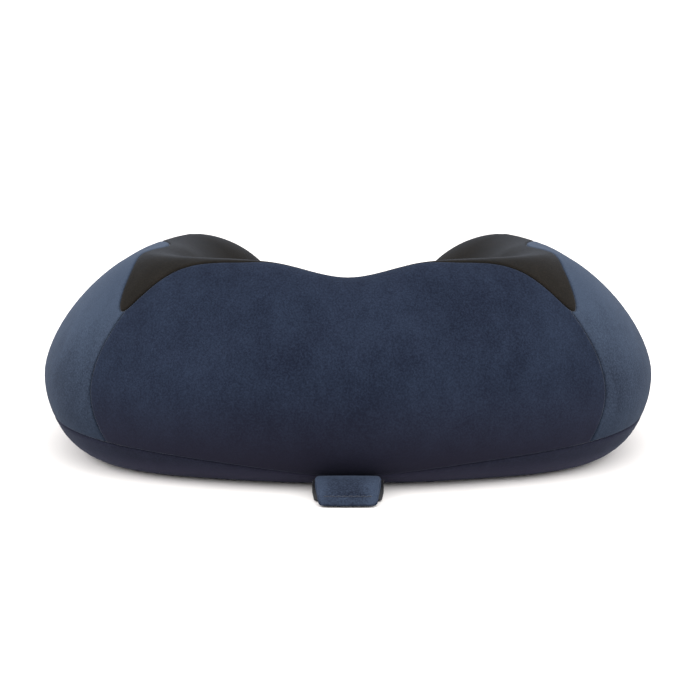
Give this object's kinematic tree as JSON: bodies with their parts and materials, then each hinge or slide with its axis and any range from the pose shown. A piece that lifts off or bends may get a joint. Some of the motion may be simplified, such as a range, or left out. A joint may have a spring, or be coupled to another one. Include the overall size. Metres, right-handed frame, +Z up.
{
  "type": "neck pillow",
  "caption": "U shaped moulded-foam travel neck pillow in a zipped velour cover, with raised shoulders, two thick arms, a flat base and a small fabric loop at the back.",
  "frame": {"origin": "centre of the whole object's box in plan, on the surface that it stands on; the neck axis is 14 mm ahead of it along +Y", "axes": "+X to the pillow's left-right width, +Y from the back towards the gap between the arms, +Z up"},
  "size_m": [0.3, 0.2521, 0.1029],
  "materials": {
    "navy_velour": "matte",
    "charcoal_velour": "matte",
    "liner_knit": "matte",
    "memory_foam": "matte",
    "zip_tape": "matte",
    "zip_coil": "satin",
    "zip_metal": "satin",
    "loop_webbing": "matte",
    "thread": "satin",
    "label_satin": "satin"
  },
  "bodies": {
    "pillow": {"foam_core": "memory_foam", "inner_liner": "liner_knit", "back_panel": "navy_velour", "side_panel_left": "navy_velour", "side_panel_right": "navy_velour", "neck_panel": "charcoal_velour", "base_panel": "navy_velour", "zip_tape_front": "zip_tape", "zip_tape_rear": "zip_tape", "zip_coil_front": "zip_coil", "zip_coil_rear": "zip_coil", "zip_stop_left": "zip_metal", "zip_stop_right": "zip_metal", "care_label": "label_satin"},
    "loop": {"carry_loop": "navy_velour", "loop_backing": "loop_webbing", "loop_stitch": "thread"},
    "slider": {"zip_slider": "zip_metal"},
    "pull": {"zip_pull": "zip_metal"}
  },
  "joints": [
    {"name": "loop_flex", "type": "hinge", "parent": "pillow", "child": "loop", "pos_m": [0, -0.0955, 0.0055], "axis": [-1, 0, 0], "range_deg": [-30, 25]},
    {"name": "slider_travel", "type": "slide", "parent": "pillow", "child": "slider", "axis": [1, 0, 0], "range_m": [0, 0.085]},
    {"name": "pull_swing", "type": "hinge", "parent": "slider", "child": "pull", "pos_m": [-0.046, -0.066, 0.0016], "axis": [0, 1, 0], "range_deg": [0, 150]}
  ]
}
